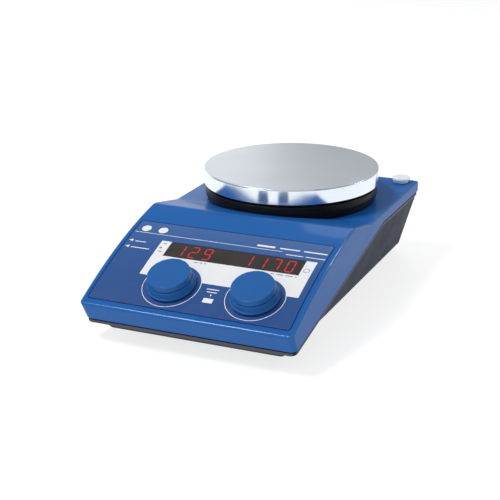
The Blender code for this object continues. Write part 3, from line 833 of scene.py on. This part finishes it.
def seam_gasket():
    def loop(inset, drop):
        return tub_loop(lambda z: half_width(z) - inset, LIP_BACK + inset, DEPTH - inset, 3.5,
                        lambda back: seam_z(back) - drop)

    bottom, top = SEAM_GAP - GAP, GAP
    rounded = soften([(1.7, bottom), (1.7, top), (2.6, top), (2.6, bottom)], 0.2, 3, ring=True)
    stand_in("seam_gasket", loft([loop(*point) for point in rounded], ring=True), "rubber", "rubber")


# ---- front panel ----
def foil_shape(grow, top, under, step=4):
    """The label's outline on the crowned panel: rounded at its corners, between two heights."""
    corner = FOIL_CORNER + grow
    front, rear, half = FOIL_FRONT - grow, FOIL_REAR + grow, FOIL_HALF + grow
    arc = [math.radians(7.5 * k) for k in range(13)]
    stations = [(corner * (1 - math.sin(a)), front + corner * (1 - math.cos(a))) for a in arc]
    stations += [(0.0, back) for back in range(12, 82, step)]
    stations += [(corner * (1 - math.cos(a)), rear - corner * (1 - math.sin(a))) for a in arc]
    loops = []
    for inset, back in stations:
        w, z = half - inset, panel_z(back)
        loops.append([at(-w, back, z + under), at(w, back, z + under), at(w, back, z + top), at(-w, back, z + top)])
    return loft(loops)


def window_frame():
    return panel_frame(WINDOW_X, WINDOW_BACK)


def window_box(grow, bottom, top):
    w, d = WINDOW_W / 2 + grow, WINDOW_D / 2 + grow
    return block((-w, -d, bottom), (w, d, top))


def ink_sheet(low_x, front, high_x, rear, step=2.0):
    """A thin layer of ink that follows the panel's crown."""
    count = max(2, math.ceil((rear - front) / step))
    loops = []
    for k in range(count + 1):
        back = front + (rear - front) * k / count
        z = panel_z(back)
        loops.append([at(low_x, back, z - INK_UNDER), at(high_x, back, z - INK_UNDER),
                      at(high_x, back, z + INK_OVER), at(low_x, back, z + INK_OVER)])
    return loft(loops)


def printed(name, bm_or_obj, look):
    obj = bm_or_obj
    if not isinstance(obj, bpy.types.Object):
        obj = solid(name, bm_or_obj)
    return finish_piece(obj, "base", look, "label_foil")


def ink_marks(name, marks, look, lift=0.0):
    """Flat outlines printed on the panel, cut from one curved ink layer: (outline, x, back) each."""
    sheet = solid(name, ink_sheet(-FOIL_HALF, FOIL_FRONT, FOIL_HALF, FOIL_REAR))
    sheet.data.transform(Matrix.Translation((0, 0, lift * MM)))
    cutter = bmesh.new()
    for outline, x, back in marks:
        shape = prism(outline, -0.4, 0.4)
        bmesh.ops.transform(shape, matrix=panel_frame(x, back), verts=shape.verts)
        join(cutter, shape)
    combine(sheet, [solid("outlines", cutter)], "INTERSECT")
    return printed(name, sheet, look)


def arc_points(radius, start, end, steps, centre=(0, 0)):
    """Points along an arc, its angles in degrees."""
    angles = [math.radians(start + (end - start) * k / steps) for k in range(steps + 1)]
    return [(centre[0] + radius * math.cos(a), centre[1] + radius * math.sin(a)) for a in angles]


def bar(length, width=0.8):
    """A bar with round ends."""
    run = length / 2 - width / 2
    return arc_points(width / 2, -90, 90, 6, (run, 0)) + arc_points(width / 2, 90, 270, 6, (-run, 0))


def disc(radius):
    return arc_points(radius, 0, 352.5, 47)


def pointer(length, turn):
    """A small triangle whose tip is at its origin."""
    shape = [(0, 0), (length, -length * 0.42), (length, length * 0.42)]
    c, s = math.cos(turn), math.sin(turn)
    return [(x * c - y * s, x * s + y * c) for x, y in shape]


def rectangle(width, depth):
    w, d = width / 2, depth / 2
    return [(-w, -d), (w, -d), (w, d), (-w, d)]


def panel_marks():
    """Plain generic marks where the real panel has its symbols and lettering."""
    down = math.pi / 2
    white = [(disc(3.6), -66.9, 78.4), (disc(3.6), -53.4, 78.4),
             (pointer(3.4, 0), -73.4, 63.2), (bar(8.6), -63.8, 62.7),
             (pointer(3.4, 0), -73.1, 56.4), (bar(14.6), -60.8, 56.0),
             (bar(14.0, 2.0), 28.0, 76.6), (bar(15.0, 1.3), 46.0, 76.6), (bar(17.5, 1.3), 65.0, 76.6),
             (bar(13.0, 0.8), 51.5, 70.8), (bar(14.5, 0.8), 67.0, 70.8),
             (rectangle(7.3, 4.1), 10.7, 17.7), (pointer(2.0, down), 10.8, 21.2),
             (bar(7.5), 10.4, 25.0), (bar(9.4), 10.2, 27.4)]
    ink_marks("ink_white_marks", white, "print_white")
    grey = [(bar(2.6, 1.0), -44.7, 64.2), (disc(1.0), -45.9, 59.2), (bar(3.2, 0.9), -44.6, 55.4),
            (bar(3.4), -13.6, 49.6), (bar(2.2), -9.6, 49.6), (bar(1.6), -6.4, 49.6),
            (bar(3.0), 44.0, 49.6), (bar(5.0), 49.4, 49.6), (bar(5.6), 56.2, 49.6), (bar(1.6), 61.2, 49.6)]
    ink_marks("ink_grey_marks", grey, "print_grey", GREY_LIFT)
    ring = solid("ink_small_ring", ink_sheet(62, 53, 70, 61))
    combine(ring, [solid("ring", tube(1.85, 2.3, -1, 1, 48), panel_frame(66.0, 57.1))], "INTERSECT")
    ring.data.transform(Matrix.Translation((0, 0, GREY_LIFT * MM)))
    printed("ink_small_ring", ring, "print_grey")


def front_panel():
    foil = solid("front_foil", foil_shape(0.0, 0.0, -FOIL_T, 2))
    holes = [solid("hole", rod(5.2, -9, 6), panel_frame(x, KNOB_BACK)) for x in KNOBS.values()]
    holes.append(solid("hole", window_box(GAP, -9, 6), window_frame()))
    combine(foil, holes)
    stand_in("front_foil", foil, "label_foil", "label_foil")

    field = solid("ink_white_field", ink_sheet(-48.3, 31.6, 70.2, 66.9))
    cutters = [solid("cut", window_box(0.15, -4, 4), window_frame())]
    cutters += [solid("cut", rod(RING_R - RING_W, -4, 4, ROUND), panel_frame(x, KNOB_BACK)) for x in KNOBS.values()]
    combine(field, cutters)
    printed("ink_white_field", field, "print_white")
    for kind, x in KNOBS.items():
        ring = solid(f"ink_{kind}_ring", ink_sheet(x - 25, 2, x + 25, 50))
        combine(ring, [solid("ring", tube(RING_R - RING_W, RING_R, -4, 4), panel_frame(x, KNOB_BACK))], "INTERSECT")
        printed(f"ink_{kind}_ring", ring, "print_white")
    # A dark line round the foil's edge: painted shade of the gap where the foil meets its recess.
    border = solid("foil_edge_painted_shade", ink_sheet(-FOIL_HALF, FOIL_FRONT, FOIL_HALF, FOIL_REAR))
    rim = foil_shape(-0.02, 1.0, -1.0, 2)
    combine(border, [solid("rim", rim)], "INTERSECT")
    combine(border, [solid("inside", foil_shape(-BORDER_W, 2.0, -2.0, 2))])
    printed("foil_edge_painted_shade", border, "painted_gap_shade")
    printed("ink_rule", ink_sheet(-73.9, 73.1, 41.5, 73.5), "print_white")


# ---- display ----
SEGMENTS = {"0": "abcdef", "1": "bc", "2": "abged", "7": "abc", "9": "abcdfg"}
DIGIT_W, DIGIT_H, DIGIT_BAR, DIGIT_PITCH = 6.0, 12.4, 0.9, 10.5
READOUTS = {"temperature": ("129", -9.1), "speed": ("1170", 53.4)}     # digits, middle of the last one


def segment(name):
    """A seven-segment bar as an outline about the digit's middle."""
    run_x, run_y = (DIGIT_W - DIGIT_BAR) / 2, (DIGIT_H - DIGIT_BAR) / 2
    places = {"a": (0, run_y, 0), "g": (0, 0, 0), "d": (0, -run_y, 0), "b": (run_x, run_y / 2, 1),
              "f": (-run_x, run_y / 2, 1), "c": (run_x, -run_y / 2, 1), "e": (-run_x, -run_y / 2, 1)}
    x, y, upright_bar = places[name]
    half = (run_y / 2 if upright_bar else run_x) - 0.25
    t = DIGIT_BAR / 2
    shape = [(-half, 0), (-half + t, -t), (half - t, -t), (half, 0), (half - t, t), (-half + t, t)]
    if upright_bar:
        shape = [(-b, a) for a, b in shape]
    return [(x + a, y + b) for a, b in shape]


def display():
    window = window_box(0.0, -WINDOW_SUNK - WINDOW_T, -WINDOW_SUNK)
    bmesh.ops.bevel(window, geom=window.edges[:], offset=0.15, segments=2, profile=0.5, affect="EDGES")
    stand_in("display_window", window, "smoked_window", "smoked_window", window_frame())
    for kind, (text, last) in READOUTS.items():
        bm = bmesh.new()
        for place, character in enumerate(reversed(text)):
            shift = last - place * DIGIT_PITCH - WINDOW_X
            for name in SEGMENTS[character]:
                bar = [(px + shift, py) for px, py in segment(name)]
                join(bm, prism(bar, -WINDOW_SUNK - 0.05, -WINDOW_SUNK + 0.08))
        digits = solid(f"{kind}_digits", bm, window_frame())
        finish_piece(digits, "base", "red_digits", "red_display")


# ---- knobs ----
def knob(kind):
    place = panel_frame(KNOBS[kind], KNOB_BACK)
    r, h = KNOB_R, KNOB_H
    cap = [(0, 9.3), (3.3, 9.3), (3.3, 3.3), (5.2, 3.3), (5.2, 9.0), (13.6, 9.0), (13.8, 6.9), (r + 0.65, 6.9),
           (r + 0.05, h - 0.45), (r - 0.45, h), (0, h)]
    stand_in(f"{kind}_knob", turned(soften(cap, 0.55)), "knob_blue", "knob_blue", place)
    s, bottom = KNOB_SKIRT_R, KNOB_LIFT
    skirt = [(5.6, bottom), (s, bottom), (s, bottom + 0.9), (s - 1.15, bottom + 1.5), (s - 1.15, bottom + 1.9),
             (s - 0.95, bottom + 2.0), (r + 0.95, 6.2), (r + 0.7, 6.6), (14.3, 6.6), (14.3, 3.0), (5.6, 3.0)]
    stand_in(f"{kind}_knob_skirt", turned(soften(skirt, 0.5, ring=True), ring=True), "knob_blue", "knob_blue", place)


# ---- plate ----
def plate_group():
    axis = upright(PLATE)
    r, base, top = PLATE_R, PLATE_LOW, HEIGHT
    plate = [(0, base), (27.7, base), (27.7, base + 6.8), (38.3, base + 6.8), (38.3, base), (r - 0.8, base),
             (r, base + 0.8), (r, top - 0.95), (r - 0.5, top - 0.9), (r - 0.5, top - 0.45), (r - 0.05, top - 0.4),
             (r - 0.3, top), (0, top)]
    obj = solid("hotplate", turned(soften(plate, 0.25, 3), 160), axis)
    spot = middle("plate_sensor")
    combine(obj, [solid("hole", rod(1.9, 60, base + 7, 24), upright(spot))])
    stand_in("hotplate", obj, "plate_side", "plate_alloy")
    second_look(obj, "plate_top", lambda x, back, z, normal: z > top - 0.5)

    wide, narrow = SKIRT_TOP_R, SKIRT_LOW_R
    skirt = [(SKIRT_HOLE_R, 71.3), (wide, 71.3), (wide - 0.1, 66.5), (wide - 0.7, 63.5),
             (narrow + 0.3, 61.2), (narrow, 60.35), (SKIRT_HOLE_R, 60.35)]
    ring = solid("plate_skirt", turned(soften(skirt, 0.7, ring=True), 144, ring=True), axis)
    seam = [(back, seam_z(back)) for back in (230, *reversed(KNEE_STATIONS[::4]), 60)]
    combine(ring, [solid("crown", loft(across(crown_path() + seam, 0.0, GAP)))])
    stand_in("plate_skirt", ring, "skirt_black", "skirt_black")

    cap = [(0, 50.5), (3.8, 50.5), (3.8, 60.3), (5.8, 60.3), (5.8, 60.8), (4.4, 61.0), (4.4, 62.4), (7.3, 62.4),
           (7.3, 64.2), (6.6, 64.7), (0, 64.7)]
    stand_in("rod_hole_cap", turned(soften(cap, 0.4), 64), "cap_plastic", "cap_plastic", upright(ROD))


# ---- left wall ----
def rocker_switch():
    place = wall_frame(ROCKER_BACK, ROCKER_Z)
    shell = solid("rocker_frame", block((-11.75, -7.75, -0.6), (11.75, 7.75, 0.6), 0.45, 4), place)
    combine(shell, [solid("body", block((-10.25, -6.3, -14), (10.25, 6.3, 0.3), 0.2), place)], "UNION")
    combine(shell, [solid("cavity", block((-8.75, -5.1, -9), (8.75, 5.1, 3), 0.25), place)])
    stand_in("rocker_frame", shell, "black_plastic", "black_plastic")
    top = [(8.3 * k / 8, 2.2 + 0.6 * (k / 8) ** 2) for k in range(8, -9, -1)]
    side = [(x, z) for x, z in top] + [(-8.1, -1.0), (-3.0, -4.5), (3.0, -4.5), (8.1, -1.0)]
    side = [Vector((x, z)) for x, z in side]
    loops = []
    for y, shrink in ((-4.75, 0.35), (-4.65, 0.1), (-4.4, 0.0), (4.4, 0.0), (4.65, 0.1), (4.75, 0.35)):
        loops.append([(p.x * (1 - shrink / 8.3), y, p.y - shrink * (1 if p.y > 0 else -1)) for p in side])
    pivot = place @ Matrix.Translation((0, 0, -3)) @ Matrix.Rotation(math.radians(6), 4, "Y")
    stand_in("mains_rocker", loft(loops), "black_plastic", "black_plastic", pivot)
    line = block((4.6, -1.7, 2.25), (5.2, 1.7, 2.55))
    ring = tube(1.25, 1.8, 2.2, 2.72, 40)
    bmesh.ops.translate(ring, vec=(-5.0, 0, 0), verts=ring.verts)
    for name, shape in (("rocker_bar_mark", line), ("rocker_ring_mark", ring)):
        finish_piece(solid(name, shape, pivot), BODY_OF["mains_rocker"], "print_white", "black_plastic")


def limit_control():
    place = wall_frame(LIMIT_BACK, LIMIT_Z)
    body = [(0, -15), (7, -15), (7, -3.4), (3.2, -3.4), (3.2, -0.5), (2.4, -0.5), (2.4, -12.4), (0, -12.4)]
    stand_in("limit_potentiometer", turned(soften(body, 0.3), 48), "black_plastic", "black_plastic", place)
    screw = solid("limit_screw", turned(soften([(0, -12), (2, -12), (2, -0.6), (0, -0.6)], 0.25), 48), place)
    combine(screw, [solid("slot", block((-3, -0.35, -1.6), (3, 0.35, 1)), place)])
    stand_in("limit_screw", screw, "brass", "brass")


# ---- rear wall ----
def rear_wall():
    """Drawn in a frame with x to the right, y to the rear from the middle of the object, and z up."""
    x, z = INLET.x, INLET.z
    rear = DEPTH / 2

    def piece(low_x, low_back, low_z, high_x, high_back, high_z, bevel=0.0):
        return block((x + low_x, low_back - rear, z + low_z), (x + high_x, high_back - rear, z + high_z), bevel)

    body = solid("mains_inlet", piece(-25.5, 268.8, -12.5, 25.5, 269.8, 12.5, 0.35))
    combine(body, [solid("body", piece(-23, 243, -10.5, 23, 269.3, 10.5))], "UNION")
    mouth = piece(-3, 254, -8.5, 22, 275, 8.5)
    uprights = [e for e in mouth.edges if abs(e.verts[0].co.y - e.verts[1].co.y) > 5]
    bmesh.ops.bevel(mouth, geom=uprights, offset=2.0, segments=5, profile=0.5, affect="EDGES")
    combine(body, [solid("mouth", mouth), solid("slot", piece(-20.5, 246, -7.5, -7.5, 275, 7.5))])
    stand_in("mains_inlet", body, "black_plastic", "black_plastic")
    for node in ("live_pin", "earth_pin", "neutral_pin"):
        stand_in(node, block(low(node), high(node), 0.45, 4), "brass", "brass")
    drawer = solid("fuse_drawer", piece(-20.2, 246.4, -7.2, -7.8, 269.6, 7.2, 0.3))
    combine(drawer, [solid("pocket", piece(-23, 247.2, -2.9, -11.1, 267.8, 2.9))])
    combine(drawer, [solid("grip", piece(-17.0, 269.2, -5.9, -11.0, 271, -4.9))])
    stand_in("fuse_drawer", drawer, "black_plastic", "black_plastic")
    socket = [(0, 115), (7.4, 115), (7.4, 133.8), (9.5, 133.8), (9.5, 134.8), (5.6, 134.8), (5.6, 124), (0, 124)]
    stand_in("sensor_socket", turned(soften(socket, 0.35), 64), "black_plastic", "black_plastic", rearward(SOCKET))
    contacts = bmesh.new()
    for angle in (30, 90, 150, 210, 330):
        contact = rod(0.5, 123.9, 129.0, 16)
        spot = (3.3 * math.cos(math.radians(angle)), 3.3 * math.sin(math.radians(angle)), 0)
        bmesh.ops.translate(contact, vec=spot, verts=contact.verts)
        join(contacts, contact)
    pins = solid("sensor_socket_contacts", contacts, rearward(SOCKET))
    finish_piece(pins, "base", "brass", "black_plastic")


# ---- underside ----
def underside():
    foot = [(0, 0.5), (3.2, 0.5), (3.8, 0), (6.3, 0), (7, 0.9), (7, FLOOR_Z - GAP), (2.9, FLOOR_Z - GAP), (2.9, 7.2),
            (0, 7.2)]
    for number, place in enumerate(FEET, 1):
        stand_in(f"rubber_foot_{number}", turned(soften(foot, 0.5), 64), "rubber", "rubber", upright(place))
    for number, place in enumerate(SCREWS, 1):
        head = [(0, 5.3), (4, 5.3), (4, 6.3), (2, 6.3), (2, 30), (0, 30)]
        screw = solid("screw", turned(soften(head, 0.25), 40), upright(place))
        cross = [solid("cross", block((-1.9, -0.42, 5), (1.9, 0.42, 5.9)), upright(place)),
                 solid("cross", block((-0.42, -1.9, 5), (0.42, 1.9, 5.9)), upright(place))]
        combine(screw, cross)
        stand_in(f"housing_screw_{number}", screw, "steel", "steel")


top_housing()
bottom_housing()
seam_gasket()
front_panel()
panel_marks()
display()
for kind in KNOBS:
    knob(kind)
plate_group()
rocker_switch()
limit_control()
rear_wall()
underside()

# ---- CAD nodes that keep their shape ----
KEPT = {
    "steel": ["carrier_plate", "heating_element", "plate_sensor", "plate_standoff_1", "plate_standoff_2",
              "plate_standoff_3", "motor_can", "upper_bearing", "lower_bearing", "motor_shaft", "magnet_holder",
              "rod_bush", "temperature_encoder", "speed_encoder", "temperature_knob_shaft", "speed_knob_shaft",
              "fuse"],
    "black_plastic": ["power_transformer", "temperature_push_slide", "speed_push_slide"],
    "ceramic_fibre": ["insulation_disc"],
    "circuit_board": ["control_board", "power_board"],
    "display_module": ["temperature_display", "speed_display"],
    "ribbon": ["ribbon_cable"],
    "magnet": ["motor_rotor", "north_magnet", "south_magnet"],
    "winding": ["motor_stator"],
}
for look_name, nodes in KEPT.items():
    for node in nodes:
        mesh = frame["nodes"][node].data
        mesh.materials.clear()
        mesh.materials.append(LOOKS[look_name])


# ---- stage ----
def floor_piece():
    bm = bmesh.new()
    bmesh.ops.create_grid(bm, x_segments=1, y_segments=1, size=20000)
    obj = solid("floor", bm)
    look = Look("floor", (0.3, 0.3, 0.3), 0.6, Emission_Color=(1, 1, 1, 1), Emission_Strength=0.76)
    look.mottle((0.29, 0.29, 0.29), (0.31, 0.31, 0.31), 200.0)
    obj.data.materials.append(look.material)


def area_light(name, place, target, width, height, power, rgb=(1, 1, 1)):
    data = bpy.data.lights.new(name, "AREA")
    data.shape = "RECTANGLE"
    data.size, data.size_y = width, height
    data.energy = power
    data.color = rgb
    obj = bpy.data.objects.new(name, data)
    bpy.context.scene.collection.objects.link(obj)
    obj.location = place
    obj.rotation_euler = (Vector(target) - Vector(place)).to_track_quat("-Z", "Y").to_euler()


def stage():
    floor_piece()
    world = bpy.data.worlds.new("studio")
    bpy.context.scene.world = world
    world.use_nodes = True
    world.node_tree.nodes["Background"].inputs["Color"].default_value = (0.95, 0.97, 1.0, 1.0)
    world.node_tree.nodes["Background"].inputs["Strength"].default_value = 0.30
    area_light("key", (-0.58, -0.50, 1.35), (0, 0, 0.05), 0.36, 0.36, 13.5)
    area_light("front", (0.3, -1.3, 0.75), (0, 0, 0.05), 2.2, 1.4, 5.6)
    area_light("rear", (-1.50, 1.25, 0.5), (0, 0, 0.06), 2.0, 0.8, 5.8)
    area_light("ridge", (-0.11, 1.28, 1.09), (0, 0, 0.06), 0.92, 0.4, 3.0)
    area_light("edge", (0.92, 0.92, 0.98), (0, 0, 0.06), 0.18, 0.18, 4.0)
    bpy.context.scene.view_settings.view_transform = "Standard"


CAMERA_AT = Vector((0.3609, -0.8306, 0.3548))
CAMERA_YAW, CAMERA_PITCH, CAMERA_ROLL = math.radians(24.09), math.radians(-19.53), math.radians(-0.458)
CAMERA_LENS = 92.2


def camera():
    data = bpy.data.cameras.new("camera")
    data.sensor_width, data.lens = 36.0, CAMERA_LENS
    data.clip_start, data.clip_end = 0.01, 50.0
    obj = bpy.data.objects.new("camera", data)
    bpy.context.scene.collection.objects.link(obj)
    level = Vector((-math.sin(CAMERA_YAW), math.cos(CAMERA_YAW), 0))
    ahead = level * math.cos(CAMERA_PITCH) + Vector((0, 0, math.sin(CAMERA_PITCH)))
    right = level.cross(Vector((0, 0, 1)))
    up = right.cross(ahead)
    right = right * math.cos(CAMERA_ROLL) + up * math.sin(CAMERA_ROLL)
    turn = Matrix((right, right.cross(ahead), -ahead)).transposed().to_4x4()
    obj.matrix_world = Matrix.Translation(CAMERA_AT) @ turn
    bpy.context.scene.camera = obj


stage()
camera()
